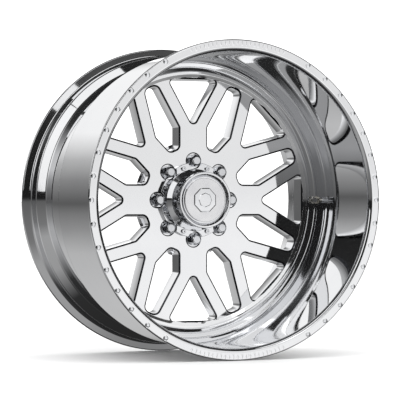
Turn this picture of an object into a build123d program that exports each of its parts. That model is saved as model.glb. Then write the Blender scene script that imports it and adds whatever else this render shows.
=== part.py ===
from build123d import *
import math
import os

# A 24 x 14 inch forged two-piece wheel with eight split arms, a deep polished lip, a bolted
# centre cap, eight closed-end lug nuts and a clamp-in valve.
# Millimetres. The origin is the wheel's centre, the wheel turns about Y, the outer lip faces -Y
# and +Z is up. Profiles are drawn as (radius, y) and turned about the Y axis.

os.makedirs("parts", exist_ok=True)

# ---- rim contour ----------------------------------------------------------------------------
HALF_WIDTH = 190.8          # 14 inches between the bead faces plus 13 mm of flange each side
FLANGE_R = 324.7            # bead seat radius plus 17.5 mm
FLANGE_INNER_R = 309.3      # inner edge of the flat ring on each flange
FLANGE_THICKNESS = 7.2
FLANGE_ROOT_Y = 177.6       # where the bead seat meets the flange
SEAT_ROOT_R = 307.3         # 24 inch bead seat
SEAT_END_R = 305.4          # the seat tapers 5 degrees towards the middle
SEAT_END_Y = 156.0
HUMP_R = 307.0
HUMP_Y = 153.0              # top of each hump, on its bead seat's side
BARREL_R = 305.5            # outside of the barrel under the lip
LIP_R = 300.0               # inside of the lip
REAR_INNER_R = 299.0        # inside of the barrel at the back
SHOULDER_Y = 22.0           # where the barrel starts to drop into the well
WELL_FRONT = (288.5, 58.0)  # drop centre floor, front end: radius and y
WELL_REAR = (289.5, 135.2)  # drop centre floor, rear end
WELL_WALL = 6.0             # thickness under the drop centre's rear corner
CENTRE_BORE_R = 280.5       # register that holds the centre

# ---- forged centre --------------------------------------------------------------------------
FACE_Y = 28.2               # polished face of the arms
DISC_BACK_Y = 57.2
PAD_Y = 76.0                # hub mounting pad: 76 mm behind the wheel's middle plane
RIM_BAND_R = CENTRE_BORE_R - 0.05
TROUGH_Y = 37.2             # floor of the groove between the centre and the lip
HUB_BORE_R = 60.65
CAP_REGISTER_R = 63.0       # the bore is wider at the front, where the cap's spigot sits
CAP_REGISTER_END_Y = 42.0
PAD_R = 100.0
ARMS = 8
ARM_STEP = 360 / ARMS
PCD_R = 165.1 / 2
WALL_STEP_Y = 44.2          # window walls are square down to here, then lean in
WALL_LEAN = 13.0            # degrees
EDGE_BREAK = 2.5

# ---- lug nuts -------------------------------------------------------------------------------
POCKET_R = 15.5
POCKET_DEPTH = 8.0
CONE_TOP_R = 12.6
CONE_END_R = 8.4
STUD_HOLE_R = 7.6
CONE_DEPTH = (CONE_TOP_R - CONE_END_R) * math.sqrt(3)   # 60 degree cone
NUT_FLATS = 22.0
NUT_PROUD = 18.7
NUT_END_R = 7.3
NUT_THREAD_R = 6.5
SEAT_CLEARANCE = 0.06

# ---- centre cap -----------------------------------------------------------------------------
CAP_FRONT_Y = -33.2
CAP_FLANGE_R = 79.0
CAP_FLANGE_THICKNESS = 9.0
CAP_NECK_R = 54.0
CAP_NECK_BORE_R = 49.5
CAP_SPIGOT_R = 62.75
CAP_SPIGOT_BORE_R = 57.0
CAP_SPIGOT_LENGTH = 13.0
BEZEL_R = 58.6
BEZEL_LIP = 4.6
CHANNEL_OUTER_R = 48.6      # the channel's outer wall slopes down to its floor here
BEZEL_BACK_Y = -23.4
CHANNEL_FLOOR_Y = -27.6
PLATE_R = 45.7
PLATE_FRONT_Y = -30.8
PLATE_BOSS_R = 42.9
SCREW_CIRCLE_R = 71.0
SCREW_HEAD_R = 4.6
SCREW_SHANK_R = 2.5
ORING_R = 1.7
ORING_GROOVE_Y = 34.5

# ---- rivets in the front flange -------------------------------------------------------------
RIVET_CIRCLE_R = 317.6
RIVET_STEP = 360 / 42
RIVETS_PER_SIDE = 15
RIVET_HEAD_R = 4.3
RIVET_HEAD_HEIGHT = 1.8
RIVET_EDGE_HEIGHT = 1.4      # the heads are slightly domed
RIVET_RECESS_R = 5.4        # the heads sit in recesses, level with the flange
RIVET_SHANK_R = 2.4
RIVET_DEPTH = 4.5

# ---- valve ----------------------------------------------------------------------------------
VALVE_TILT = 35.0           # degrees that the stem leans in from the wheel's axis
VALVE_SEAT_R = 292.2        # where the washer rests on the wall
VALVE_SEAT_Y = 32.6
VALVE_WALL = 4.4
VALVE_HOLE_R = 5.75
VALVE_SPOT_R = 8.2
STEM_R = 4.1
STEM_END = 21.0
STEM_TIP_R = 3.85
VALVE_CAP_R = 5.2
PIN_TRAVEL = 1.5


def front_plane(y):
    """Plane square to the wheel's axis at a given y, looking out through the front."""
    return Plane.XZ.offset(-y)


def outline(corners):
    """Closed outline through (x, y, corner radius) triples."""
    points = [(x, y) for x, y, _ in corners]
    FilletPolyline(*points, radius=[r for _, _, r in corners], close=True)


def finish(part, name):
    """Label a finished piece and write its file."""
    part.label = name
    export_step(part, f"parts/{name}.step")


lean_angle = math.radians(VALVE_TILT)
VALVE_PLANE = Plane(
    origin=(VALVE_SEAT_R, VALVE_SEAT_Y, 0),
    x_dir=(0, 0, 1),
    z_dir=(-math.sin(lean_angle), -math.cos(lean_angle), 0),
)

# ---- barrel ---------------------------------------------------------------------------------
flange_back = HALF_WIDTH - FLANGE_THICKNESS
well_inside = (WELL_REAR[0] - WELL_WALL, 131.0)
barrel_corners = [
    # front flange, bead seat and hump
    (FLANGE_R, -HALF_WIDTH, 3.2),
    (FLANGE_R, -flange_back, 3.2),
    (SEAT_ROOT_R, -FLANGE_ROOT_Y, 6.0),
    (SEAT_END_R, -SEAT_END_Y, 1.5),
    (HUMP_R, -HUMP_Y, 2.5),
    (HUMP_R, 4.0 - HUMP_Y, 2.5),
    (BARREL_R, 7.0 - HUMP_Y, 2.0),
    # shoulder, drop centre and its rear wall
    (BARREL_R, SHOULDER_Y, 10.0),
    (*WELL_FRONT, 8.0),
    (*WELL_REAR, 5.0),
    (HUMP_R, HUMP_Y - 5.5, 4.0),
    # rear hump, bead seat and flange
    (HUMP_R, HUMP_Y, 2.5),
    (SEAT_END_R, SEAT_END_Y, 1.5),
    (SEAT_ROOT_R, FLANGE_ROOT_Y, 6.0),
    (FLANGE_R, flange_back, 3.2),
    (FLANGE_R, HALF_WIDTH, 3.2),
    # inside, from the back to the register and out along the lip
    (REAR_INNER_R, HALF_WIDTH, FLANGE_INNER_R - REAR_INNER_R),
    (REAR_INNER_R, 145.0, 6.0),
    (*well_inside, 8.0),
    (CENTRE_BORE_R, DISC_BACK_Y, 0),
    (CENTRE_BORE_R, TROUGH_Y, 0.6),
    (290.0, TROUGH_Y, 4.0),
    (294.0, TROUGH_Y - 13.0, 12.0),
    (LIP_R, TROUGH_Y - 40.0, 14.0),
    (LIP_R, -HALF_WIDTH, FLANGE_INNER_R - LIP_R),
]

with BuildPart() as barrel:
    with BuildSketch(Plane.XY):
        with BuildLine():
            outline(barrel_corners)
        make_face()
    revolve(axis=Axis.Y)
    # blind holes for the rivets, in two groups about the horizontal diameter
    half_group = RIVET_STEP * (RIVETS_PER_SIDE - 1) / 2
    for hole_r, hole_depth in (
        (RIVET_RECESS_R, RIVET_HEAD_HEIGHT),
        (RIVET_SHANK_R + 0.03, RIVET_HEAD_HEIGHT + RIVET_DEPTH + 0.2),
    ):
        with BuildSketch(front_plane(-HALF_WIDTH)):
            for side in (0, 180):
                with PolarLocations(
                    RIVET_CIRCLE_R, RIVETS_PER_SIDE, side - half_group, 2 * half_group, endpoint=True
                ):
                    Circle(hole_r)
        extrude(amount=-hole_depth, mode=Mode.SUBTRACT)
    # valve hole with a spot face on each side of the wall
    with BuildSketch(VALVE_PLANE):
        Circle(VALVE_SPOT_R)
    extrude(amount=22, mode=Mode.SUBTRACT)
    with BuildSketch(VALVE_PLANE.offset(-VALVE_WALL)):
        Circle(VALVE_SPOT_R)
    extrude(amount=-16, mode=Mode.SUBTRACT)
    with BuildSketch(VALVE_PLANE):
        Circle(VALVE_HOLE_R)
    extrude(amount=-VALVE_WALL, mode=Mode.SUBTRACT)
finish(barrel.part, "barrel")

# ---- forged centre --------------------------------------------------------------------------
# A window between two arms is a triangle; a window inside a split arm is a long hexagon.
BAND_INNER_R = 253.5        # outer ends of both windows
TRIANGLE_TIP_R = 154.0      # where its two sides would meet
TRIANGLE_SLOPE = math.tan(math.radians(30))
triangle_corners = [
    (TRIANGLE_TIP_R, 0, 8.0),
    (BAND_INNER_R, -(BAND_INNER_R - TRIANGLE_TIP_R) * TRIANGLE_SLOPE, 8.0),
    (BAND_INNER_R, (BAND_INNER_R - TRIANGLE_TIP_R) * TRIANGLE_SLOPE, 8.0),
]
SPLIT_START_R = 112.8
SPLIT_WIDEST_R = 153.5
SPLIT_HALF_WIDTHS = (11.1, 28.0, 14.8)
hexagon_corners = [
    (SPLIT_START_R, -SPLIT_HALF_WIDTHS[0], 11.0),
    (SPLIT_WIDEST_R, -SPLIT_HALF_WIDTHS[1], 8.0),
    (BAND_INNER_R, -SPLIT_HALF_WIDTHS[2], 12.0),
    (BAND_INNER_R, SPLIT_HALF_WIDTHS[2], 12.0),
    (SPLIT_WIDEST_R, SPLIT_HALF_WIDTHS[1], 8.0),
    (SPLIT_START_R, SPLIT_HALF_WIDTHS[0], 11.0),
]

with BuildSketch() as triangle_window:
    with BuildLine():
        outline(triangle_corners)
    make_face()

with BuildSketch() as hexagon_window:
    with BuildLine():
        outline(hexagon_corners)
    make_face()

centre_corners = [
    (CAP_REGISTER_R, FACE_Y, 0),
    (257.5, FACE_Y, 3.0),
    (264.0, 25.4, 2.5),
    (270.5, 25.4, 4.0),
    (RIM_BAND_R, 36.0, 3.0),
    (RIM_BAND_R, DISC_BACK_Y, 0.8),
    (PAD_R + 18.0, DISC_BACK_Y, 8.0),
    (PAD_R + 6.0, PAD_Y - 3.0, 2.0),
    (PAD_R, PAD_Y, 0),
    (HUB_BORE_R, PAD_Y, 0),
    (HUB_BORE_R, CAP_REGISTER_END_Y, 0),
    (CAP_REGISTER_R, CAP_REGISTER_END_Y, 0),
]


def window_sketch(plane, growth=0.0):
    """All sixteen windows on one plane, each grown outwards by the given amount."""
    with BuildSketch(plane) as windows:
        with PolarLocations(0, ARMS):
            add(triangle_window.sketch)
        with PolarLocations(0, ARMS, start_angle=ARM_STEP / 2):
            add(hexagon_window.sketch)
        if growth:
            offset(amount=growth)
    return windows.sketch


front_windows = window_sketch(front_plane(FACE_Y))
rear_windows = window_sketch(front_plane(WALL_STEP_Y))
broken_edges = window_sketch(front_plane(FACE_Y), EDGE_BREAK)

with BuildPart() as forged_centre:
    with BuildSketch(Plane.XY):
        with BuildLine():
            outline(centre_corners)
        make_face()
    revolve(axis=Axis.Y)
    # windows: square walls for the front half, then leaning in towards the back
    extrude(front_windows, amount=-(WALL_STEP_Y - FACE_Y), mode=Mode.SUBTRACT)
    rear_depth = DISC_BACK_Y - WALL_STEP_Y
    extrude(rear_windows, amount=-rear_depth, taper=WALL_LEAN, mode=Mode.SUBTRACT)
    extrude(broken_edges, amount=-EDGE_BREAK, taper=45, mode=Mode.SUBTRACT)
    # lug pockets, cone seats and stud holes
    with BuildSketch(front_plane(FACE_Y)):
        with PolarLocations(PCD_R, ARMS):
            Circle(POCKET_R)
    extrude(amount=-POCKET_DEPTH, mode=Mode.SUBTRACT)
    pocket_floor = FACE_Y + POCKET_DEPTH
    with BuildSketch(front_plane(pocket_floor)):
        with PolarLocations(PCD_R, ARMS):
            Circle(CONE_TOP_R)
    extrude(amount=-CONE_DEPTH, taper=30, mode=Mode.SUBTRACT)
    with BuildSketch(front_plane(pocket_floor)):
        with PolarLocations(PCD_R, ARMS):
            Circle(STUD_HOLE_R)
    extrude(amount=-(PAD_Y - pocket_floor), mode=Mode.SUBTRACT)
    # tapped holes for the cap's screws
    with BuildSketch(front_plane(FACE_Y)):
        with PolarLocations(SCREW_CIRCLE_R, ARMS, start_angle=ARM_STEP / 2):
            Circle(SCREW_SHANK_R + 0.05)
    extrude(amount=-12, mode=Mode.SUBTRACT)
    pocket_edges = forged_centre.edges().filter_by(GeomType.CIRCLE).filter_by(
        lambda e: abs(e.radius - POCKET_R) < 0.01 and abs(e.center().Y - FACE_Y) < 0.01
    )
    chamfer(pocket_edges, length=1.2)
    bore_edges = forged_centre.edges().filter_by(GeomType.CIRCLE).filter_by(
        lambda e: abs(e.radius - HUB_BORE_R) < 0.01 and e.center().Y > PAD_Y - 0.01
    )
    chamfer(bore_edges, length=1.5)
finish(forged_centre.part, "forged_centre")

# ---- weld behind the centre -----------------------------------------------------------------
WELD_LEG = 7.0
bore_growth = (well_inside[0] - CENTRE_BORE_R) / (well_inside[1] - DISC_BACK_Y)
with BuildPart() as centre_weld:
    with BuildSketch(Plane.XY):
        with BuildLine():
            toe_in = (CENTRE_BORE_R - WELD_LEG, DISC_BACK_Y)
            toe_out = (CENTRE_BORE_R + bore_growth * WELD_LEG, DISC_BACK_Y + WELD_LEG)
            root = (CENTRE_BORE_R, DISC_BACK_Y)
            RadiusArc(toe_in, toe_out, 9.0)
            Line(toe_out, root)
            Line(root, toe_in)
        make_face()
    revolve(axis=Axis.Y)
finish(centre_weld.part, "centre_weld")

# ---- rivets ---------------------------------------------------------------------------------
dome_rise = RIVET_HEAD_HEIGHT - RIVET_EDGE_HEIGHT
dome_r = (RIVET_HEAD_R**2 + dome_rise**2) / (2 * dome_rise)
with BuildPart() as rivet_blank:
    with BuildSketch(Plane.XZ):
        with BuildLine():
            Polyline(
                (RIVET_HEAD_R, RIVET_EDGE_HEIGHT),
                (RIVET_HEAD_R, 0),
                (RIVET_SHANK_R, 0),
                (RIVET_SHANK_R, -RIVET_DEPTH),
                (0, -RIVET_DEPTH),
                (0, RIVET_HEAD_HEIGHT),
            )
            RadiusArc((0, RIVET_HEAD_HEIGHT), (RIVET_HEAD_R, RIVET_EDGE_HEIGHT), dome_r)
        make_face()
    revolve(axis=Axis.Z)

with BuildPart(front_plane(-HALF_WIDTH + RIVET_HEAD_HEIGHT)) as lip_rivets:
    for side in (0, 180):
        with PolarLocations(
            RIVET_CIRCLE_R, RIVETS_PER_SIDE, side - half_group, 2 * half_group, endpoint=True
        ):
            add(rivet_blank.part)
finish(lip_rivets.part, "lip_rivets")

# ---- lug nuts -------------------------------------------------------------------------------
# Drawn with its cone seat's large end at z = 0 and its closed end up.
nut_top = POCKET_DEPTH + NUT_PROUD
with BuildPart() as nut_blank:
    with BuildSketch():
        RegularPolygon(NUT_FLATS / 2, 6, major_radius=False)
    extrude(amount=nut_top)
    with BuildSketch(Plane.XZ):
        with BuildLine():
            Polyline((NUT_END_R, nut_top), (0, nut_top), (0, 0), (CONE_TOP_R - SEAT_CLEARANCE, 0))
            Line((CONE_TOP_R - SEAT_CLEARANCE, 0), (NUT_FLATS / 2 + 1.9, 3.0))
            Line((NUT_FLATS / 2 + 1.9, 3.0), (NUT_FLATS / 2 + 1.9, nut_top - 9.5))
            ThreePointArc(
                (NUT_FLATS / 2 + 1.9, nut_top - 9.5),
                (NUT_FLATS / 2 - 0.2, nut_top - 3.0),
                (NUT_END_R, nut_top),
            )
        make_face()
    revolve(axis=Axis.Z, mode=Mode.INTERSECT)
    with BuildSketch():
        Circle(CONE_TOP_R - SEAT_CLEARANCE)
    extrude(amount=-(CONE_DEPTH - 0.4), taper=30)
    with BuildSketch(Plane.XY.offset(-(CONE_DEPTH - 0.4))):
        Circle(NUT_THREAD_R)
    extrude(amount=nut_top + CONE_DEPTH - 6.0, mode=Mode.SUBTRACT)

for number in range(ARMS):
    with BuildPart(front_plane(FACE_Y + POCKET_DEPTH)) as lug_nut:
        with PolarLocations(PCD_R, 1, start_angle=number * ARM_STEP):
            add(nut_blank.part)
    finish(lug_nut.part, f"lug_nut_{number + 1}")

# ---- centre cap -----------------------------------------------------------------------------
flange_front = FACE_Y - CAP_FLANGE_THICKNESS
spigot_end = FACE_Y + CAP_SPIGOT_LENGTH
groove_r = CAP_SPIGOT_R - 2 * ORING_R + 0.2
housing_corners = [
    (CAP_NECK_R, BEZEL_BACK_Y, 0.6),
    (CAP_NECK_R, flange_front - 7.0, 4.0),
    (65.0, flange_front, 2.0),
    (CAP_FLANGE_R, flange_front, 1.2),
    (CAP_FLANGE_R, FACE_Y, 0),
    (CAP_SPIGOT_R, FACE_Y, 0),
    (CAP_SPIGOT_R, ORING_GROOVE_Y - ORING_R - 0.2, 0),
    (groove_r, ORING_GROOVE_Y - ORING_R - 0.2, 0),
    (groove_r, ORING_GROOVE_Y + ORING_R + 0.2, 0),
    (CAP_SPIGOT_R, ORING_GROOVE_Y + ORING_R + 0.2, 0),
    (CAP_SPIGOT_R, spigot_end, 1.0),
    (CAP_SPIGOT_BORE_R, spigot_end, 0),
    (CAP_SPIGOT_BORE_R, flange_front + 1.0, 3.0),
    (CAP_NECK_BORE_R, flange_front - 5.0, 3.0),
    (CAP_NECK_BORE_R, BEZEL_BACK_Y, 0),
]
with BuildPart() as cap_housing:
    with BuildSketch(Plane.XY):
        with BuildLine():
            outline(housing_corners)
        make_face()
    revolve(axis=Axis.Y)
    # scallops that clear the lug pockets, and counterbored screw holes between them
    with BuildSketch(front_plane(flange_front - 1.0)):
        with PolarLocations(PCD_R, ARMS):
            Circle(POCKET_R + 1.4)
    extrude(amount=-(CAP_FLANGE_THICKNESS + 1.0), mode=Mode.SUBTRACT)
    with BuildSketch(front_plane(flange_front)):
        with PolarLocations(SCREW_CIRCLE_R, ARMS, start_angle=ARM_STEP / 2):
            Circle(SCREW_SHANK_R + 0.05)
    extrude(amount=-CAP_FLANGE_THICKNESS, mode=Mode.SUBTRACT)
finish(cap_housing.part, "cap_housing")

with BuildPart() as cap_oring:
    with BuildSketch(Plane.XY):
        with Locations((groove_r + ORING_R, ORING_GROOVE_Y)):
            Circle(ORING_R)
    revolve(axis=Axis.Y)
finish(cap_oring.part, "cap_oring")

lip_inner = BEZEL_R - BEZEL_LIP
web_bore = PLATE_BOSS_R + 0.05
bezel_spigot_r = CAP_NECK_BORE_R - 0.05
bezel_corners = [
    (BEZEL_R, CAP_FRONT_Y, 1.4),
    (BEZEL_R, BEZEL_BACK_Y, 0.8),
    (bezel_spigot_r, BEZEL_BACK_Y, 0),
    (bezel_spigot_r, BEZEL_BACK_Y + 7.0, 0.6),
    (45.4, BEZEL_BACK_Y + 7.0, 0),
    (45.4, BEZEL_BACK_Y, 0),
    (web_bore, BEZEL_BACK_Y, 0),
    (web_bore, CHANNEL_FLOOR_Y, 0),
    (CHANNEL_OUTER_R, CHANNEL_FLOOR_Y, 0.8),
    (lip_inner, CAP_FRONT_Y, 1.4),
]
with BuildPart() as cap_bezel:
    with BuildSketch(Plane.XY):
        with BuildLine():
            outline(bezel_corners)
        make_face()
    revolve(axis=Axis.Y)
finish(cap_bezel.part, "cap_bezel")

clip_width = 1.5
clip_groove_r = PLATE_BOSS_R - 1.4
clip_back_y = BEZEL_BACK_Y + clip_width
plate_end_y = clip_back_y + 2.0
plate_corners = [
    (0, PLATE_FRONT_Y, 0),
    (PLATE_R, PLATE_FRONT_Y, 1.0),
    (PLATE_R, CHANNEL_FLOOR_Y, 0),
    (PLATE_BOSS_R, CHANNEL_FLOOR_Y, 0),
    (PLATE_BOSS_R, BEZEL_BACK_Y, 0),
    (clip_groove_r, BEZEL_BACK_Y, 0),
    (clip_groove_r, clip_back_y, 0),
    (PLATE_BOSS_R, clip_back_y, 0),
    (PLATE_BOSS_R, plate_end_y, 0.4),
    (clip_groove_r - 4.0, plate_end_y, 0),
    (clip_groove_r - 4.0, CHANNEL_FLOOR_Y + 0.8, 1.5),
    (0, CHANNEL_FLOOR_Y + 0.8, 0),
]
with BuildPart() as cap_emblem_plate:
    with BuildSketch(Plane.XY):
        with BuildLine():
            outline(plate_corners)
        make_face()
    revolve(axis=Axis.Y)
finish(cap_emblem_plate.part, "cap_emblem_plate")

with BuildPart() as cap_retaining_ring:
    with BuildSketch(front_plane(BEZEL_BACK_Y)):
        Circle(45.2)
        Circle(clip_groove_r, mode=Mode.SUBTRACT)
        with Locations((43.0, 0)):
            Rectangle(12, 9, mode=Mode.SUBTRACT)
    extrude(amount=-clip_width)
finish(cap_retaining_ring.part, "cap_retaining_ring")

# Eight-sided boss with sloping sides, a step and a smaller boss on top.
BADGE_R = 27.0
with BuildPart() as cap_badge:
    with BuildSketch(front_plane(PLATE_FRONT_Y)):
        RegularPolygon(BADGE_R, ARMS, rotation=ARM_STEP / 2)
    extrude(amount=1.3, taper=60)
    with BuildSketch(front_plane(PLATE_FRONT_Y)):
        RegularPolygon(BADGE_R * 0.62, ARMS)
    extrude(amount=2.3, taper=50)
finish(cap_badge.part, "cap_badge")

SCREW_HEAD_HEIGHT = 4.2
SCREW_LENGTH = 18.0
with BuildPart() as screw_blank:
    with BuildSketch():
        Circle(SCREW_HEAD_R)
    extrude(amount=SCREW_HEAD_HEIGHT)
    head_rim = screw_blank.edges().sort_by(Axis.Z)[-1]
    fillet(head_rim, radius=1.0)
    with BuildSketch(Plane.XY.offset(SCREW_HEAD_HEIGHT)):
        RegularPolygon(2.0, 6, major_radius=False)
    extrude(amount=-2.4, mode=Mode.SUBTRACT)
    with BuildSketch():
        Circle(SCREW_SHANK_R)
    extrude(amount=-SCREW_LENGTH)

with BuildPart(front_plane(flange_front)) as cap_screws:
    with PolarLocations(SCREW_CIRCLE_R, ARMS, start_angle=ARM_STEP / 2):
        add(screw_blank.part)
finish(cap_screws.part, "cap_screws")

# ---- valve ----------------------------------------------------------------------------------
GROMMET = 2.4               # rubber between the head and the wall
HEAD = 2.6
CORE_R = 2.5
CORE_BOTTOM = 7.0
CORE_TOP = 19.0
PIN_R = 0.7
SEAL_R = 1.5

with BuildPart() as valve_stem:
    with BuildSketch(VALVE_PLANE.offset(-VALVE_WALL - GROMMET)):
        Circle(VALVE_SPOT_R - 0.6)
    extrude(amount=-HEAD)
    with BuildSketch(VALVE_PLANE.offset(-VALVE_WALL - GROMMET)):
        Circle(STEM_R)
    extrude(amount=VALVE_WALL + GROMMET + STEM_END - 8.0)
    with BuildSketch(VALVE_PLANE.offset(STEM_END - 8.0)):
        Circle(STEM_TIP_R)
    extrude(amount=8.0)
    with BuildSketch(VALVE_PLANE.offset(STEM_END)):
        Circle(CORE_R + 0.05)
    extrude(amount=-(STEM_END - CORE_BOTTOM), mode=Mode.SUBTRACT)
    with BuildSketch(VALVE_PLANE.offset(CORE_BOTTOM)):
        Circle(SEAL_R + 0.5)
    extrude(amount=-30, mode=Mode.SUBTRACT)
finish(valve_stem.part, "valve_stem")

with BuildPart() as valve_grommet:
    with BuildSketch(VALVE_PLANE.offset(-VALVE_WALL)):
        Circle(VALVE_SPOT_R - 0.3)
        Circle(STEM_R + 0.02, mode=Mode.SUBTRACT)
    extrude(amount=-GROMMET)
    with BuildSketch(VALVE_PLANE.offset(-VALVE_WALL)):
        Circle(VALVE_HOLE_R - 0.02)
        Circle(STEM_R + 0.02, mode=Mode.SUBTRACT)
    extrude(amount=VALVE_WALL - 0.3)
finish(valve_grommet.part, "valve_grommet")

WASHER = 1.2
NUT_HEIGHT = 4.6
with BuildPart() as valve_washer:
    with BuildSketch(VALVE_PLANE):
        Circle(VALVE_SPOT_R - 0.2)
        Circle(STEM_R + 0.05, mode=Mode.SUBTRACT)
    extrude(amount=WASHER)
finish(valve_washer.part, "valve_washer")

with BuildPart() as valve_nut:
    with BuildSketch(VALVE_PLANE.offset(WASHER)):
        RegularPolygon(6.5, 6, major_radius=False)
        Circle(STEM_R + 0.02, mode=Mode.SUBTRACT)
    extrude(amount=NUT_HEIGHT)
finish(valve_nut.part, "valve_nut")

with BuildPart() as valve_core:
    with BuildSketch(VALVE_PLANE.offset(CORE_BOTTOM)):
        Circle(CORE_R)
        Circle(PIN_R + 0.1, mode=Mode.SUBTRACT)
    extrude(amount=CORE_TOP - CORE_BOTTOM)
    with BuildSketch(VALVE_PLANE.offset(CORE_TOP)):
        Circle(SEAL_R + 0.3)
    extrude(amount=-6.0, mode=Mode.SUBTRACT)
finish(valve_core.part, "valve_core")

# The pin's seal closes the core's lower end; its collar rides on the spring.
with BuildPart() as valve_pin:
    with BuildSketch(VALVE_PLANE.offset(CORE_BOTTOM - 3.0)):
        Circle(PIN_R)
    extrude(amount=CORE_TOP - CORE_BOTTOM + 4.0)
    with BuildSketch(VALVE_PLANE.offset(CORE_BOTTOM - 0.05)):
        Circle(SEAL_R)
    extrude(amount=-2.0)
    with BuildSketch(VALVE_PLANE.offset(CORE_TOP - 0.6)):
        Circle(SEAL_R)
    extrude(amount=-0.8)
finish(valve_pin.part, "valve_pin")

SPRING_WIRE_R = 0.24
SPRING_TURNS = 3
spring_top = CORE_TOP - 1.4 - SPRING_WIRE_R - 0.02
spring_length = 4.6 - PIN_TRAVEL - 4 * SPRING_WIRE_R
with BuildPart() as valve_spring:
    with BuildLine() as spring_line:
        Helix(
            pitch=spring_length / SPRING_TURNS,
            height=spring_length,
            radius=SEAL_R - 0.3,
            center=VALVE_PLANE.offset(spring_top - spring_length).origin,
            direction=VALVE_PLANE.z_dir,
        )
    with BuildSketch(Plane(origin=spring_line.line @ 0, z_dir=spring_line.line % 0)):
        Circle(SPRING_WIRE_R)
    sweep(path=spring_line.line)
finish(valve_spring.part, "valve_spring")

CAP_START = STEM_END - 9.0
CAP_END = STEM_END + 4.5
with BuildPart() as valve_cap:
    with BuildSketch(VALVE_PLANE.offset(CAP_START)):
        Circle(VALVE_CAP_R)
    extrude(amount=CAP_END - CAP_START)
    with BuildSketch(VALVE_PLANE.offset(CAP_START)):
        with PolarLocations(VALVE_CAP_R + 0.35, 12):
            Circle(0.8)
    extrude(amount=CAP_END - CAP_START - 3.0, mode=Mode.SUBTRACT)
    with BuildSketch(VALVE_PLANE.offset(CAP_START)):
        Circle(STEM_R + 0.08)
    extrude(amount=STEM_END - CAP_START + 2.6, mode=Mode.SUBTRACT)
finish(valve_cap.part, "valve_cap")
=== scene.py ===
"""Looks of a deep-lip forged wheel: polished metal, a plain studio and a camera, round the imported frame.

The wheel turns about Y, its outer lip faces -Y and +Z is up. Contours are drawn as radius and
place along the axle, in millimetres, and are built in metres.
"""

import logging
import math
from collections.abc import Iterable
from dataclasses import dataclass
from enum import Enum

import bmesh
import bpy
from bmesh.types import BMesh
from bpy.types import Material, Mesh, NodeSocket, NodeTree, Object
from mathutils import Matrix, Vector


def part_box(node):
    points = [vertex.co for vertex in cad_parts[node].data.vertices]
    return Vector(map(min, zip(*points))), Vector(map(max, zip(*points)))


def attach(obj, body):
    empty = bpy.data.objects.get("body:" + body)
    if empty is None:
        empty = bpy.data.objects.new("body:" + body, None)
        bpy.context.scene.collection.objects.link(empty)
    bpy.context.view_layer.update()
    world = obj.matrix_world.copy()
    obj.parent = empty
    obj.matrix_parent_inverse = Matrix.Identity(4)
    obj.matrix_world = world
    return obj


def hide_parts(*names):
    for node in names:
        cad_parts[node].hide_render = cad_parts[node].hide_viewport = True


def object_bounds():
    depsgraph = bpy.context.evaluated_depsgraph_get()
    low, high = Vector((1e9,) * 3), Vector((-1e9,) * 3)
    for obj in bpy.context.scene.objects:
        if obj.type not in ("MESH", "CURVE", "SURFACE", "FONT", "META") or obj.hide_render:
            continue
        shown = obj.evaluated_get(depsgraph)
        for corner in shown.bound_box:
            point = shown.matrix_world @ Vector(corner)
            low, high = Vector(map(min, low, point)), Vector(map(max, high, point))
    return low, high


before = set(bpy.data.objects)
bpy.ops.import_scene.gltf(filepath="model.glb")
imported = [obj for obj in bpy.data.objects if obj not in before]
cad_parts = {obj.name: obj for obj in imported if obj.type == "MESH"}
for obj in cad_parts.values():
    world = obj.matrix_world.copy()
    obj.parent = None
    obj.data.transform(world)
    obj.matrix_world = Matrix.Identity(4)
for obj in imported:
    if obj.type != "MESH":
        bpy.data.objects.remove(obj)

MM = 0.001
AXLE = Vector((0.0, 1.0, 0.0))
SHARP_TURN = math.radians(32)
ROUNDING_STEP = math.radians(7)
WELD_DISTANCE = 1e-6
NOISE_RANGE = (0.3, 0.7)
CAD_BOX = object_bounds()

log = logging.getLogger("wheel")


# ---- finishes -----------------------------------------------------------------------------------
class Grain(Enum):
    """The marks that the last tool left on a surface."""

    TURNED = "turned"
    BUFFED = "buffed"
    DRAWN = "drawn"
    MOULDED = "moulded"

    @property
    def fineness(self) -> float:
        """The scale of its noise, per metre."""
        return {Grain.TURNED: 900.0, Grain.BUFFED: 700.0, Grain.DRAWN: 1800.0, Grain.MOULDED: 1600.0}[self]


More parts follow.
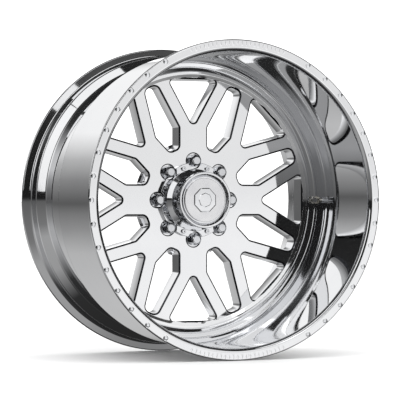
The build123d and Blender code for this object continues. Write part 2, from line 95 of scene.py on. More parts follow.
class Nodes:
    """A material's node tree, with short calls for the nodes that the finishes share."""

    def __init__(self, material: Material) -> None:
        """Empties the tree and adds the output and the main shader.

        Args:
            material: The material whose tree is written.
        """
        material.use_nodes = True
        self.tree = material.node_tree
        self.tree.nodes.clear()
        self.output = self.tree.nodes.new("ShaderNodeOutputMaterial")
        self.shader = self.tree.nodes.new("ShaderNodeBsdfPrincipled")
        self.link(self.shader.outputs["BSDF"], self.output.inputs["Surface"])
        self.place = self.tree.nodes.new("ShaderNodeTexCoord").outputs["Object"]

    def link(self, source: NodeSocket, target: NodeSocket) -> None:
        """Joins an output to an input."""
        self.tree.links.new(source, target)

    def math(self, operation: str, first: NodeSocket, second: NodeSocket | float = 0.0) -> NodeSocket:
        """Adds a Math node.

        Args:
            operation: The node's operation.
            first: Its first value.
            second: Its second value, a socket or a number.

        Returns:
            The node's output.
        """
        node = self.tree.nodes.new("ShaderNodeMath")
        node.operation = operation
        self.link(first, node.inputs[0])
        if isinstance(second, NodeSocket):
            self.link(second, node.inputs[1])
        else:
            node.inputs[1].default_value = second
        return node.outputs[0]

    def noise(self, vector: NodeSocket, scale: float, detail: float = 3.0) -> NodeSocket:
        """Adds a Noise Texture.

        Args:
            vector: Where the noise is read.
            scale: Its scale per metre.
            detail: How many finer layers it has.

        Returns:
            The noise's value, mostly within NOISE_RANGE.
        """
        node = self.tree.nodes.new("ShaderNodeTexNoise")
        node.inputs["Scale"].default_value = scale
        node.inputs["Detail"].default_value = detail
        self.link(vector, node.inputs["Vector"])
        return node.outputs["Fac"]

    def spread(self, value: NodeSocket, low: float, high: float) -> NodeSocket:
        """Spreads a noise's value over a range.

        Args:
            value: The noise.
            low: What the low end of NOISE_RANGE becomes.
            high: What its high end becomes.

        Returns:
            The spread value.
        """
        node = self.tree.nodes.new("ShaderNodeMapRange")
        node.inputs["From Min"].default_value = NOISE_RANGE[0]
        node.inputs["From Max"].default_value = NOISE_RANGE[1]
        node.inputs["To Min"].default_value = low
        node.inputs["To Max"].default_value = high
        self.link(value, node.inputs["Value"])
        return node.outputs["Result"]

    def stretched(self, scales: tuple[float, float, float]) -> NodeSocket:
        """Object coordinates scaled along each axis.

        Args:
            scales: The factor along X, Y and Z.

        Returns:
            The scaled coordinates.
        """
        node = self.tree.nodes.new("ShaderNodeMapping")
        node.inputs["Scale"].default_value = scales
        self.link(self.place, node.inputs["Vector"])
        return node.outputs["Vector"]

    def polar(self, around: float) -> NodeSocket:
        """Coordinates about the axle: radius, place along it, and a little of the angle.

        Args:
            around: How fast the third value runs round the axle, per radian.

        Returns:
            The combined coordinates.
        """
        parts = self.tree.nodes.new("ShaderNodeSeparateXYZ")
        self.link(self.place, parts.inputs[0])
        x, y, z = parts.outputs
        radius = self.math("SQRT", self.math("ADD", self.math("MULTIPLY", x, x), self.math("MULTIPLY", z, z)))
        angle = self.math("MULTIPLY", self.math("ARCTAN2", z, x), around)
        joined = self.tree.nodes.new("ShaderNodeCombineXYZ")
        for socket, target in zip((radius, y, angle), joined.inputs):
            self.link(socket, target)
        return joined.outputs[0]

    def bump(self, height: NodeSocket, distance: float, strength: float) -> None:
        """Bumps the main shader's normal.

        Args:
            height: The height.
            distance: How tall a height of 1 is, in metres.
            strength: How much of it is used.
        """
        node = self.tree.nodes.new("ShaderNodeBump")
        node.inputs["Distance"].default_value = distance
        node.inputs["Strength"].default_value = strength
        self.link(height, node.inputs["Height"])
        self.link(node.outputs["Normal"], self.shader.inputs["Normal"])

    def tint(self, value: NodeSocket, low: tuple[float, ...], high: tuple[float, ...]) -> None:
        """Gives the main shader a colour that drifts between two.

        Args:
            value: 0 for the first colour and 1 for the second.
            low: The first colour.
            high: The second colour.
        """
        node = self.tree.nodes.new("ShaderNodeMix")
        node.data_type = "RGBA"
        node.inputs["A"].default_value = (*low, 1.0)
        node.inputs["B"].default_value = (*high, 1.0)
        self.link(value, node.inputs["Factor"])
        self.link(node.outputs["Result"], self.shader.inputs["Base Color"])


@dataclass(frozen=True)
class Finish:
    """A surface finish: its colours, gloss and tool marks.

    Attributes:
        name: The material's name.
        slot: The record's material slot that it belongs to; not used.
        colour: Its main colour.
        worn: The colour that it drifts to in patches.
        metallic: 1 for bare or plated metal and 0 for rubber.
        gloss: Roughness in its clean and its smudged patches.
        grain: The marks that the last tool left.
        mark_depth: How deep those marks are, in metres.
        patch_scale: Patches per metre.
    """

    name: str
    slot: str
    colour: tuple[float, float, float]
    worn: tuple[float, float, float]
    metallic: float
    gloss: tuple[float, float]
    grain: Grain
    mark_depth: float
    patch_scale: float = 14.0

    def build(self) -> Material:
        """Makes the material, or returns the one made before.

        Returns:
            The material.
        """
        title = f"{self.name}_finish"
        made = bpy.data.materials.get(title)
        if made:
            return made
        made = bpy.data.materials.new(title)
        nodes = Nodes(made)
        nodes.shader.inputs["Metallic"].default_value = self.metallic
        patches = nodes.noise(nodes.place, self.patch_scale, 4.0)
        marks = self.marks(nodes)
        nodes.tint(nodes.spread(patches, 0.0, 1.0), self.colour, self.worn)
        rough = nodes.spread(patches, *self.gloss)
        drift = 0.25 * self.gloss[0]
        fine = nodes.spread(marks, -drift, drift)
        nodes.link(nodes.math("ADD", rough, fine), nodes.shader.inputs["Roughness"])
        nodes.bump(marks, self.mark_depth, 1.0)
        return made

    def marks(self, nodes: Nodes) -> NodeSocket:
        """Adds the tool marks.

        Args:
            nodes: The material's tree.

        Returns:
            The marks' height, mostly within NOISE_RANGE.
        """
        fineness = self.grain.fineness
        if self.grain is Grain.TURNED:
            return nodes.noise(nodes.polar(0.02), fineness, 2.0)
        if self.grain is Grain.BUFFED:
            along = nodes.noise(nodes.stretched((1.0, 0.3, 0.15)), fineness, 2.0)
            across = nodes.noise(nodes.stretched((0.15, 0.3, 1.0)), fineness, 2.0)
            return nodes.math("MULTIPLY", nodes.math("ADD", along, across), 0.5)
        if self.grain is Grain.DRAWN:
            return nodes.noise(nodes.stretched((1.0, 0.05, 1.0)), fineness, 2.0)
        return nodes.noise(nodes.place, fineness, 5.0)


POLISHED_BARREL = Finish(
    "polished_barrel", "polished_barrel", (0.87, 0.875, 0.885), (0.84, 0.845, 0.86), 1.0,
    (0.025, 0.05), Grain.TURNED, 1.2e-7,
)
POLISHED_CENTRE = Finish(
    "polished_centre", "polished_centre", (0.88, 0.885, 0.895), (0.85, 0.855, 0.87), 1.0,
    (0.025, 0.055), Grain.BUFFED, 1.5e-7,
)
# Painted dark reflection: a near-black metal colour on the centre's broken edges stands in for the dark
# surroundings that these polished chamfers mirror.
PAINTED_EDGE_REFLECTION = Finish(
    "painted_edge_reflection", "polished_centre", (0.055, 0.056, 0.060), (0.035, 0.036, 0.040), 1.0,
    (0.10, 0.20), Grain.BUFFED, 2e-7,
)
WELD_METAL = Finish(
    "weld_metal", "weld", (0.58, 0.585, 0.60), (0.46, 0.45, 0.44), 1.0,
    (0.30, 0.48), Grain.MOULDED, 4e-5, 40.0,
)
CHROME_HARDWARE = Finish(
    "chrome_hardware", "chrome_hardware", (0.80, 0.81, 0.83), (0.74, 0.75, 0.77), 1.0,
    (0.04, 0.10), Grain.TURNED, 2e-7, 60.0,
)
CHROME_NUT = Finish(
    "chrome_nut", "chrome_nut", (0.72, 0.73, 0.75), (0.64, 0.65, 0.67), 1.0,
    (0.05, 0.11), Grain.DRAWN, 4e-7, 60.0,
)
CHROME_CAP = Finish(
    "chrome_cap", "chrome_cap", (0.84, 0.845, 0.86), (0.79, 0.80, 0.82), 1.0,
    (0.035, 0.07), Grain.TURNED, 2e-7, 40.0,
)
SATIN_PLATE = Finish(
    "satin_plate", "chrome_plate", (0.80, 0.80, 0.81), (0.72, 0.72, 0.74), 1.0,
    (0.07, 0.12), Grain.TURNED, 1e-6, 50.0,
)
RUBBER = Finish(
    "rubber", "rubber", (0.018, 0.018, 0.019), (0.05, 0.049, 0.047), 0.0,
    (0.50, 0.72), Grain.MOULDED, 3e-5, 120.0,
)
SPRING_STEEL = Finish(
    "spring_steel", "spring_steel", (0.46, 0.455, 0.45), (0.36, 0.35, 0.34), 1.0,
    (0.24, 0.36), Grain.DRAWN, 3e-6, 150.0,
)
NICKEL_BRASS = Finish(
    "nickel_brass", "nickel_brass", (0.70, 0.68, 0.63), (0.60, 0.57, 0.51), 1.0,
    (0.16, 0.28), Grain.DRAWN, 2e-6, 150.0,
)
BRASS = Finish(
    "brass", "brass", (0.76, 0.58, 0.27), (0.62, 0.45, 0.20), 1.0,
    (0.20, 0.32), Grain.DRAWN, 2e-6, 150.0,
)


# ---- mesh helpers -------------------------------------------------------------------------------
@dataclass(frozen=True)
class Corner:
    """A corner of a turned contour, in millimetres.

    Attributes:
        radius: Its distance from the axle.
        y: Its place along the axle.
        rounding: The radius that it is rounded to, or 0.
    """

    radius: float
    y: float
    rounding: float = 0.0

    def point(self) -> Vector:
        """The corner in the frame, in metres."""
        return Vector((self.radius * MM, self.y * MM, 0.0))


def to_object(bm: BMesh, name: str) -> Object:
    """Writes a bmesh to a new object at the origin, with smooth faces and sharp hard edges.

    Args:
        bm: The shape, which is freed.
        name: The object's name.

    Returns:
        The new object.
    """
    for edge in bm.edges:
        edge.smooth = len(edge.link_faces) == 2 and edge.calc_face_angle() < SHARP_TURN
    for face in bm.faces:
        face.smooth = True
    mesh = bpy.data.meshes.new(name)
    bm.to_mesh(mesh)
    bm.free()
    made = bpy.data.objects.new(name, mesh)
    bpy.context.scene.collection.objects.link(made)
    return made


def apply_modifiers(target: Object) -> None:
    """Replaces an object's mesh by what its modifiers make of it.

    Args:
        target: The object.
    """
    graph = bpy.context.evaluated_depsgraph_get()
    made = bpy.data.meshes.new_from_object(target.evaluated_get(graph), depsgraph=graph)
    old: Mesh = target.data
    target.modifiers.clear()
    target.data = made
    bpy.data.meshes.remove(old)
    made.name = target.name


def weigh_normals(target: Object) -> None:
    """Lets wide faces lead the shading, so that flats stay flat beside their rounded edges.

    Args:
        target: The object.
    """
    weigh = target.modifiers.new("weigh", "WEIGHTED_NORMAL")
    weigh.mode = "FACE_AREA_WITH_ANGLE"
    weigh.keep_sharp = True
    apply_modifiers(target)


def rounded_wire(bm: BMesh, corners: tuple[Corner, ...], step: float) -> None:
    """Draws a closed contour and rounds its corners.

    Args:
        bm: Where it is drawn.
        corners: The contour's corners, in order.
        step: The largest turn between two points of a rounded corner, in radians.
    """
    points = [bm.verts.new(corner.point()) for corner in corners]
    for first, second in zip(points, points[1:] + points[:1]):
        bm.edges.new((first, second))
    for number, corner in enumerate(corners):
        if not corner.rounding:
            continue
        here = corner.point()
        before = here - corners[number - 1].point()
        after = corners[(number + 1) % len(corners)].point() - here
        turn = before.angle(after)
        bmesh.ops.bevel(
            bm, geom=[points[number]], affect="VERTICES", offset_type="OFFSET",
            offset=corner.rounding * MM * math.tan(turn / 2), segments=max(2, math.ceil(turn / step)),
            profile=0.5, material=-1, clamp_overlap=False,
        )


def turned(corners: tuple[Corner, ...], steps: int, step: float = ROUNDING_STEP) -> BMesh:
    """Turns a closed contour about the axle.

    Args:
        corners: The contour's corners.
        steps: How many steps the full turn has.
        step: The largest turn between two points of a rounded corner, in radians.

    Returns:
        The turned solid.
    """
    bm = bmesh.new()
    rounded_wire(bm, corners, step)
    bmesh.ops.spin(
        bm, geom=bm.verts[:] + bm.edges[:], cent=(0, 0, 0), axis=AXLE, angle=math.tau,
        steps=steps, use_merge=True,
    )
    bmesh.ops.remove_doubles(bm, verts=bm.verts, dist=WELD_DISTANCE)
    bmesh.ops.recalc_face_normals(bm, faces=bm.faces)
    return bm


def cylinder(bm: BMesh, radius: float, low: float, high: float, place: Matrix, segments: int = 48) -> None:
    """Adds a closed cylinder, in millimetres along its own Z axis.

    Args:
        bm: Where it is added.
        radius: Its radius.
        low: Its lower end.
        high: Its upper end.
        place: Its own axes in the frame, in metres.
        segments: How many sides it has.
    """
    middle = Matrix.Translation((0, 0, (low + high) / 2 * MM))
    bmesh.ops.create_cone(
        bm, cap_ends=True, segments=segments, radius1=radius * MM, radius2=radius * MM,
        depth=(high - low) * MM, matrix=place @ middle,
    )


def dress(piece: Object, finish: Finish, body: str) -> None:
    """Gives a piece its finish and its body.

    Args:
        piece: The piece.
        finish: Its finish.
        body: The body that it moves with.
    """
    piece.data.materials.clear()
    piece.data.materials.append(finish.build())
    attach(piece, body)
    log.info("%s: %s, %d faces, on %s", piece.name, finish.name, len(piece.data.polygons), body)


def polished_copy(node: str, finish: Finish, body: str) -> Object:
    """Stands a merged, smoothly shaded copy in for a frame node.

    Args:
        node: The frame's node.
        finish: The copy's finish.
        body: The body that it moves with.

    Returns:
        The copy.
    """
    bm = bmesh.new()
    bm.from_mesh(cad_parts[node].data)
    bmesh.ops.remove_doubles(bm, verts=bm.verts, dist=WELD_DISTANCE)
    copy = to_object(bm, f"{node}_surface")
    weigh_normals(copy)
    dress(copy, finish, body)
    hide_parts(node)
    return copy


# ---- barrel -------------------------------------------------------------------------------------
@dataclass
class Barrel:
    """The rim: two flanges, bead seats, drop centre and the deep lip, with rivets in the front.

    Attributes:
        lip: Inside radius of the lip.
        lip_foot: How far in front of the register the lip's wall ends.
        flange_inner: Inner radius of the flat ring on each flange.
        flange_edge: Thickness of a flange's edge, and the radius that it is rounded to.
        seat: Bead seat radius at the flange and at its inner end.
        seat_ends: How far those two ends lie from the middle plane.
        hump: Radius of the humps.
        hump_ends: How far a hump's outer end, and the front hump's inner end, lie from the middle plane.
        skin: Outside radius under the lip.
        skin_ends: Where that stretch starts and ends.
        drop_centre: Radius and place of the drop centre's front and rear ends, outside.
        rear_hump_foot: Where the rear hump's inner end lies.
        rear_inner: Inside radius at the back.
        rear_slope: Where the slope behind the centre starts, and the radius and place where it ends.
        register: Radius of the bore that holds the centre.
        register_ends: Where that bore starts and ends.
        trough: Radius of the trough's floor, radius where its ramp ends, and the ramp's run forwards.
        rivet_circle: Radius of the rivets' circle.
        rivets_per_side: How many rivets stand about each end of the horizontal diameter.
        rivet_places: How many places the whole circle would have.
        recess: Radius and depth of a rivet's recess.
        overcut: How far a recess's cutter stands out in front of the flange.
        tick_size: Width, length and depth of an engraved tick.
        ticks: How many ticks stand in the plain stretch at the top, and at the bottom.
        tick_angle: Degrees between two ticks.
        steps: Steps in a full turn.
    """

    lip: float = 300.0
    lip_foot: float = 40.0
    flange_inner: float = 309.3
    flange_edge: tuple[float, float] = (7.2, 3.2)
    seat: tuple[float, float] = (307.3, 305.4)
    seat_ends: tuple[float, float] = (177.6, 156.0)
    hump: float = 307.0
    hump_ends: tuple[float, float] = (153.0, 149.0)
    skin: float = 305.5
    skin_ends: tuple[float, float] = (-146.0, 22.0)
    drop_centre: tuple[float, float, float, float] = (288.5, 58.0, 289.5, 135.2)
    rear_hump_foot: float = 147.5
    rear_inner: float = 299.0
    rear_slope: tuple[float, float, float] = (145.0, 283.5, 131.0)
    register: float = 280.5
    register_ends: tuple[float, float] = (37.2, 57.2)
    trough: tuple[float, float, float] = (290.0, 294.0, 13.0)
    rivet_circle: float = 317.6
    rivets_per_side: int = 15
    rivet_places: int = 42
    recess: tuple[float, float] = (5.4, 1.8)
    overcut: float = 2.0
    tick_size: tuple[float, float, float] = (1.6, 7.0, 0.5)
    ticks: int = 23
    tick_angle: float = 1.7
    steps: int = 288

    def corners(self) -> tuple[Corner, ...]:
        """The contour, from the front flange round the outside and back through the inside.

        Returns:
            The contour's corners.
        """
        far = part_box("barrel")[1]
        rim, half = far.x / MM, far.y / MM
        thickness, edge = self.flange_edge
        back = half - thickness
        seat_outer, seat_inner = self.seat
        seat_start, seat_end = self.seat_ends
        hump_start, hump_end = self.hump_ends
        front_radius, front_end, rear_radius, rear_end = self.drop_centre
        slope_start, slope_radius, slope_end = self.rear_slope
        trough, disc_back = self.register_ends
        floor, ramp, run = self.trough
        return (
            Corner(rim, -half, edge),
            Corner(rim, -back, edge),
            Corner(seat_outer, -seat_start, 6.0),
            Corner(seat_inner, -seat_end, 1.5),
            Corner(self.hump, -hump_start, 2.5),
            Corner(self.hump, -hump_end, 2.5),
            Corner(self.skin, self.skin_ends[0], 2.0),
            Corner(self.skin, self.skin_ends[1], 10.0),
            Corner(front_radius, front_end, 8.0),
            Corner(rear_radius, rear_end, 5.0),
            Corner(self.hump, self.rear_hump_foot, 4.0),
            Corner(self.hump, hump_start, 2.5),
            Corner(seat_inner, seat_end, 1.5),
            Corner(seat_outer, seat_start, 6.0),
            Corner(rim, back, edge),
            Corner(rim, half, edge),
            Corner(self.rear_inner, half, self.flange_inner - self.rear_inner),
            Corner(self.rear_inner, slope_start, 6.0),
            Corner(slope_radius, slope_end, 8.0),
            Corner(self.register, disc_back),
            Corner(self.register, trough, 0.6),
            Corner(floor, trough, 4.0),
            Corner(ramp, trough - run, 12.0),
            Corner(self.lip, trough - self.lip_foot, 14.0),
            Corner(self.lip, -half, self.flange_inner - self.lip),
        )

    def front_places(self, angles: Iterable[float]) -> Iterable[Matrix]:
        """Axes on the front flange, with Z along the axle and X outwards.

        Args:
            angles: Where they stand about the axle, in degrees.

        Yields:
            The axes of each place.
        """
        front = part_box("barrel")[0].y
        for angle in angles:
            turn = Matrix.Rotation(-math.radians(angle), 4, "Y")
            yield turn @ Matrix.Translation((self.rivet_circle * MM, front, 0)) @ Matrix.Rotation(
                -math.pi / 2, 4, "X"
            )

    def cutters(self, valve: "Valve") -> Object:
        """Everything that is cut out of the turned barrel.

        Args:
            valve: The valve, which says where its hole is.

        Returns:
            The cutters, as one object.
        """
        bm = bmesh.new()
        half_group = (self.rivets_per_side - 1) / 2
        step = 360 / self.rivet_places
        rivets = [
            side + (number - half_group) * step
            for side in (0, 180)
            for number in range(self.rivets_per_side)
        ]
        for place in self.front_places(rivets):
            cylinder(bm, self.recess[0], -self.overcut, self.recess[1], place, 32)
        ticks = [
            side + (number - (self.ticks - 1) / 2) * self.tick_angle
            for side in (90, 270)
            for number in range(self.ticks)
        ]
        width, length, depth = (size * MM for size in self.tick_size)
        for place in self.front_places(ticks):
            scale = Matrix.Diagonal((length, width, 2 * depth, 1))
            bmesh.ops.create_cube(bm, size=1.0, matrix=place @ scale)
        axes = valve.axes()
        inner, outer = valve.spot_reach
        cylinder(bm, valve.spot, 0.0, outer, axes)
        cylinder(bm, valve.spot, inner, -valve.wall, axes)
        cylinder(bm, valve.hole, -valve.wall - valve.overcut, valve.overcut, axes)
        return to_object(bm, "barrel_cutters")

    def build(self, valve: "Valve") -> list[Object]:
        """Builds the barrel and its rivets.

        Args:
            valve: The valve, which says where its hole is.

        Returns:
            The pieces.
        """
        shell = to_object(turned(self.corners(), self.steps), "barrel_shell")
        cutters = self.cutters(valve)
        cut = shell.modifiers.new("cut", "BOOLEAN")
        cut.operation = "DIFFERENCE"
        cut.solver = "EXACT"
        cut.object = cutters
        cut.use_self = True
        apply_modifiers(shell)
        bpy.data.objects.remove(cutters)
        weigh_normals(shell)
        dress(shell, POLISHED_BARREL, "wheel")
        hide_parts("barrel")
        return [shell, polished_copy("lip_rivets", CHROME_HARDWARE, "wheel")]


# ---- centre -------------------------------------------------------------------------------------
@dataclass
class ForgedCentre:
    """The forged centre with its split arms, and the weld that joins it to the barrel.

    Attributes:
        face: Place along the axle of the arms' face.
        edge_depth: How far down the windows' broken edges reach.
        edge_flare: How much wider the band of painted dark reflection is drawn on the face.
        edge_slope: How far forwards a broken edge faces, from and to, where 1 is straight forwards.
        face_radius: Radius of the flat face.
        weld_leg: The weld's leg along the centre and along the barrel.
        weld_crown: How far its crown stands out, as a part of the leg.
        weld_ripples: How many ripples the bead has in a full turn.
        ripple_depth: How deep they are.
        ripple_lean: How far a ripple trails with its distance from the barrel, in radians per metre.
        plain_edge: How near to the barrel and to the disc the bead has no ripples.
    """

    face: float = 28.2
    edge_depth: float = 2.5
    edge_flare: float = 0.9
    edge_slope: tuple[float, float] = (0.3, 0.95)
    face_radius: float = 257.0
    weld_leg: float = 7.0
    weld_crown: float = 0.55
    weld_ripples: int = 180
    ripple_depth: float = 0.45
    ripple_lean: float = 900.0
    plain_edge: float = 0.5

    def weld(self) -> Object:
        """Builds the weld bead with its ripples.

        Returns:
            The bead.
        """
        low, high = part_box("centre_weld")
        root_radius = high.x / MM
        base = low.y / MM
        crown = self.weld_crown * self.weld_leg
        contour = (
            Corner(root_radius, base),
            Corner(root_radius, high.y / MM),
            Corner(root_radius - crown, base + crown, 6.0),
            Corner(root_radius - self.weld_leg, base),
        )
        bm = turned(contour, 4 * self.weld_ripples, math.radians(12))
        for vert in bm.verts:
            outward = Vector((vert.co.x, 0.0, vert.co.z)).normalized()
            inside = root_radius * MM - vert.co.dot(outward)
            behind = vert.co.y - base * MM
            if min(inside, behind) > self.plain_edge * MM:
                phase = math.atan2(vert.co.z, vert.co.x) * self.weld_ripples + self.ripple_lean * inside
                sink = self.ripple_depth * MM * (0.5 + 0.5 * math.cos(phase))
                vert.co += (outward - AXLE).normalized() * sink
        return to_object(bm, "weld_bead")

    def paint_edge_reflections(self, mesh: Mesh) -> None:
        """Paints a dark reflection on the broken edges of the windows and lug pockets, as a near-black metal
        colour that stands in for the dark surroundings they mirror, and widens them.

        Args:
            mesh: The centre's mesh.
        """
        # Painted dark reflection: the broken edges get a near-black colour in place of the dark surroundings
        # that they would mirror.
        mesh.materials.append(PAINTED_EDGE_REFLECTION.build())
        least, most = self.edge_slope
        outward: dict[int, Vector] = {}
        for face in mesh.polygons:
            x, y, z = face.center / MM
            sloping = least < -face.normal.y < most
            near_face = self.face < y < self.face + self.edge_depth
            if sloping and near_face and math.hypot(x, z) < self.face_radius:
                face.material_index = 1
                away = Vector((face.normal.x, 0.0, face.normal.z)).normalized()
                for corner in face.vertices:
                    if mesh.vertices[corner].co.y < self.face * MM + WELD_DISTANCE:
                        outward[corner] = outward.get(corner, Vector()) - away
        for corner, way in outward.items():
            if way.length > 0.5:
                mesh.vertices[corner].co += way.normalized() * self.edge_flare * MM

    def build(self) -> list[Object]:
        """Builds the centre and its weld.

        Returns:
            The pieces.
        """
        centre = polished_copy("forged_centre", POLISHED_CENTRE, "wheel")
        self.paint_edge_reflections(centre.data)
        bead = self.weld()
        dress(bead, WELD_METAL, "wheel")
        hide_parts("centre_weld")
        return [centre, bead]


# ---- lug nuts, cap and valve --------------------------------------------------------------------
@dataclass
class LugNuts:
    """The closed-end nuts on their circle.

    Attributes:
        count: How many there are.
    """

    count: int = 8

    def build(self) -> list[Object]:
        """Builds the nuts.

        Returns:
            The pieces.
        """
        names = [f"lug_nut_{number}" for number in range(1, self.count + 1)]
        return [polished_copy(name, CHROME_NUT, name) for name in names]


@dataclass
class CentreCap:
    """The bolted cap: housing, bezel, emblem plate with a plain boss, ring, seal and screws."""

    def build(self) -> list[Object]:
        """Builds the cap's pieces.

        Returns:
            The pieces.
        """
        finishes = {
            "cap_housing": CHROME_CAP,
            "cap_bezel": CHROME_CAP,
            "cap_emblem_plate": SATIN_PLATE,
            "cap_badge": CHROME_CAP,
            "cap_screws": CHROME_HARDWARE,
            "cap_retaining_ring": SPRING_STEEL,
            "cap_oring": RUBBER,
        }
        return [polished_copy(node, finish, "wheel") for node, finish in finishes.items()]


@dataclass
class Valve:
    """The clamp-in valve in the trough between the lip and the centre.

    Attributes:
        tilt: Degrees that the stem leans in from the axle's direction.
        seat: Radius and place along the axle of the washer's seat.
        wall: The wall's thickness there.
        spot: Radius of the spot faces.
        spot_reach: How far the spot faces' cutters reach, behind the seat and in front of it.
        hole: Radius of the hole.
        overcut: How far the hole's cutter stands out at each end.
    """

    tilt: float = 35.0
    seat: tuple[float, float] = (292.2, 32.6)
    wall: float = 4.4
    spot: float = 8.2
    spot_reach: tuple[float, float] = (-20.0, 22.0)
    hole: float = 5.75
    overcut: float = 1.0

    def axes(self) -> Matrix:
        """The valve's own axes, with Z along the stem towards its tip.

        Returns:
            The axes in the frame, in metres.
        """
        lean = math.radians(self.tilt)
        along = Vector((-math.sin(lean), -math.cos(lean), 0.0))
        side = Vector((0.0, 0.0, 1.0))
        turn = Matrix((side, along.cross(side), along)).transposed().to_4x4()
        return Matrix.Translation((self.seat[0] * MM, self.seat[1] * MM, 0.0)) @ turn

    def build(self) -> list[Object]:
        """Builds the valve's pieces.

        Returns:
            The pieces.
        """
        parts = (
            ("valve_stem", NICKEL_BRASS, "wheel"),
            ("valve_grommet", RUBBER, "wheel"),
            ("valve_washer", NICKEL_BRASS, "wheel"),
            ("valve_nut", NICKEL_BRASS, "wheel"),
            ("valve_core", BRASS, "wheel"),
            ("valve_pin", BRASS, "valve_pin"),
            ("valve_spring", SPRING_STEEL, "valve_pin"),
            ("valve_cap", CHROME_HARDWARE, "valve_cap"),
        )
        return [polished_copy(*part) for part in parts]


# ---- studio -------------------------------------------------------------------------------------
Grade = tuple[tuple[float, float], ...]


@dataclass(frozen=True)
class Softbox:
    """A large soft lamp that faces the wheel.

    Attributes:
        name: Its name.
        azimuth: Degrees about Z, 0 in front of the lip and positive towards +X.
        elevation: Degrees above the horizon.
        distance: How far its middle is from the wheel's centre.
        size: Its width and height.
        brightness: How bright its face is, where 1 is white.
    """

    name: str
    azimuth: float
    elevation: float
    distance: float
    size: tuple[float, float]
    brightness: float

    def build(self) -> Object:
        """Hangs the lamp.

        Returns:
            The lamp.
        """
        around, up = math.radians(self.azimuth), math.radians(self.elevation)
        out = Vector((math.sin(around) * math.cos(up), -math.cos(around) * math.cos(up), math.sin(up)))
        lamp = bpy.data.lights.new(self.name, "AREA")
        lamp.shape = "RECTANGLE"
        lamp.size, lamp.size_y = self.size
        lamp.energy = self.brightness * math.pi * self.size[0] * self.size[1]
        made = bpy.data.objects.new(self.name, lamp)
        made.location = out * self.distance
        made.rotation_euler = out.to_track_quat("Z", "Y").to_euler()
        made.visible_camera = False
        bpy.context.scene.collection.objects.link(made)
        return made


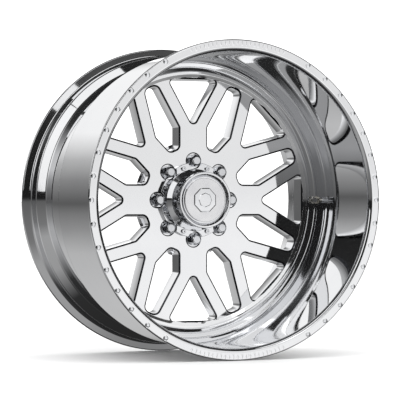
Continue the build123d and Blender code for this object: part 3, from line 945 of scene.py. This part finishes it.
@dataclass
class Studio:
    """The floor, the lamps, the backdrop and the camera.

    Attributes:
        camera_at: Where the camera stands.
        looks_along: The direction that it looks in.
        lens: Its focal length on a 36 mm sensor.
        white: Brightness of the backdrop, as the camera and the floor see it.
        behind: What the wheel mirrors behind itself: brightness by sine of the elevation.
        ahead: What it mirrors in front of itself.
        blend: How far to each side of the wheel's plane those two mix, as a part of a direction.
        floor_size: Width of the floor.
    """

    camera_at: tuple[float, float, float] = (-2.087, -4.620, 0.0)
    looks_along: tuple[float, float, float] = (0.4121, 0.9112, 0.0)
    lens: float = 218.4
    white: float = 1.5
    behind: Grade = (
        (-1.0, 0.02), (-0.75, 0.05), (-0.40, 0.56), (-0.26, 0.50), (-0.15, 0.30),
        (-0.07, 0.20), (-0.02, 0.11), (0.0, 0.13), (0.10, 0.26), (0.20, 0.50),
        (0.31, 1.0), (0.46, 1.0), (0.72, 0.05), (1.0, 0.03),
    )
    ahead: Grade = (
        (-1.0, 0.02), (-0.75, 0.03), (-0.55, 0.35), (-0.30, 0.38), (-0.20, 0.20),
        (-0.10, 0.16), (-0.01, 0.12), (0.01, 0.012), (0.35, 0.02), (0.60, 0.08),
        (0.78, 0.02), (1.0, 0.02),
    )
    blend: float = 0.15
    floor_size: float = 900.0

    def lamps(self) -> tuple[Softbox, ...]:
        """The soft lamps."""
        return (
            Softbox("front_right", 25.5, 12.0, 4.2, (2.1, 4.2), 0.86),
            Softbox("front_left", -44.0, 26.0, 4.0, (1.5, 3.2), 1.0),
            Softbox("front_high", -8.0, 60.0, 3.6, (3.0, 1.3), 1.0),
            Softbox("front_middle", 2.0, 28.0, 4.0, (2.0, 1.1), 0.9),
            Softbox("behind", 157.0, 8.0, 4.5, (1.2, 1.3), 1.1),
        )

    def floor(self) -> Object:
        """Lays the floor under the wheel.

        Returns:
            The floor.
        """
        bm = bmesh.new()
        level = Matrix.Translation((0, 0, CAD_BOX[0].z))
        bmesh.ops.create_grid(bm, x_segments=1, y_segments=1, size=self.floor_size / 2, matrix=level)
        made = to_object(bm, "studio_floor")
        paint = bpy.data.materials.new("floor_paint")
        nodes = Nodes(paint)
        mottle = nodes.spread(nodes.noise(nodes.place, 3.0), 0.0, 1.0)
        nodes.tint(mottle, (0.90, 0.90, 0.90), (0.885, 0.885, 0.885))
        nodes.shader.inputs["Roughness"].default_value = 0.85
        made.data.materials.append(paint)
        made.visible_glossy = False
        return made

    def graded(self, tree: NodeTree, height: NodeSocket, grade: Grade) -> NodeSocket:
        """Turns a height into a brightness.

        Args:
            tree: The world's node tree.
            height: The sine of the elevation, from 0 for straight down to 1 for straight up.
            grade: Brightness by sine of the elevation, from -1 to 1.

        Returns:
            The brightness, as a grey.
        """
        node = tree.nodes.new("ShaderNodeValToRGB")
        stops = node.color_ramp.elements
        while len(stops) < len(grade):
            stops.new(1.0)
        for stop, (sine, level) in zip(stops, grade):
            stop.position = (sine + 1) / 2
            stop.color = (level, level, level, 1.0)
        tree.links.new(height, node.inputs["Fac"])
        return node.outputs["Color"]

    def backdrop(self) -> None:
        """Sets the world: plain white, and graded by elevation where the wheel mirrors it."""
        world = bpy.data.worlds.new("studio")
        bpy.context.scene.world = world
        world.use_nodes = True
        tree = world.node_tree
        tree.nodes.clear()
        add = tree.nodes.new
        link = tree.links.new
        parts = add("ShaderNodeSeparateXYZ")
        link(add("ShaderNodeTexCoord").outputs["Generated"], parts.inputs[0])
        height = add("ShaderNodeMapRange")
        height.inputs["From Min"].default_value = -1.0
        link(parts.outputs["Z"], height.inputs["Value"])
        depth = add("ShaderNodeMapRange")
        depth.interpolation_type = "SMOOTHSTEP"
        depth.inputs["From Min"].default_value = -self.blend
        depth.inputs["From Max"].default_value = self.blend
        link(parts.outputs["Y"], depth.inputs["Value"])
        both = add("ShaderNodeMix")
        both.data_type = "RGBA"
        link(depth.outputs["Result"], both.inputs["Factor"])
        for grade, socket in ((self.ahead, "A"), (self.behind, "B")):
            link(self.graded(tree, height.outputs["Result"], grade), both.inputs[socket])
        dim = add("ShaderNodeBackground")
        link(both.outputs["Result"], dim.inputs["Color"])
        plain = add("ShaderNodeBackground")
        plain.inputs["Color"].default_value = (1.0, 1.0, 1.0, 1.0)
        plain.inputs["Strength"].default_value = self.white
        mix = add("ShaderNodeMixShader")
        link(add("ShaderNodeLightPath").outputs["Is Glossy Ray"], mix.inputs["Fac"])
        link(plain.outputs[0], mix.inputs[1])
        link(dim.outputs[0], mix.inputs[2])
        link(mix.outputs[0], add("ShaderNodeOutputWorld").inputs["Surface"])

    def camera(self) -> None:
        """Stands the camera level with the wheel's centre, a little to its left."""
        lens = bpy.data.cameras.new("camera")
        lens.lens = self.lens
        lens.sensor_width = 36.0
        lens.clip_end = 1000.0
        made = bpy.data.objects.new("camera", lens)
        made.location = self.camera_at
        made.rotation_euler = Vector(self.looks_along).to_track_quat("-Z", "Y").to_euler()
        bpy.context.scene.collection.objects.link(made)
        bpy.context.scene.camera = made

    def build(self) -> None:
        """Builds the whole studio."""
        self.floor()
        self.backdrop()
        for lamp in self.lamps():
            lamp.build()
        self.camera()
        bpy.context.scene.view_settings.view_transform = "Standard"


def main() -> None:
    """Builds the wheel, then the studio round it."""
    logging.basicConfig(level=logging.INFO, format="%(name)s: %(message)s")
    valve = Valve()
    pieces = Barrel().build(valve)
    for assembly in (ForgedCentre(), LugNuts(), CentreCap(), valve):
        pieces += assembly.build()
    log.info("%d pieces", len(pieces))
    Studio().build()


if __name__ == "__main__":
    main()
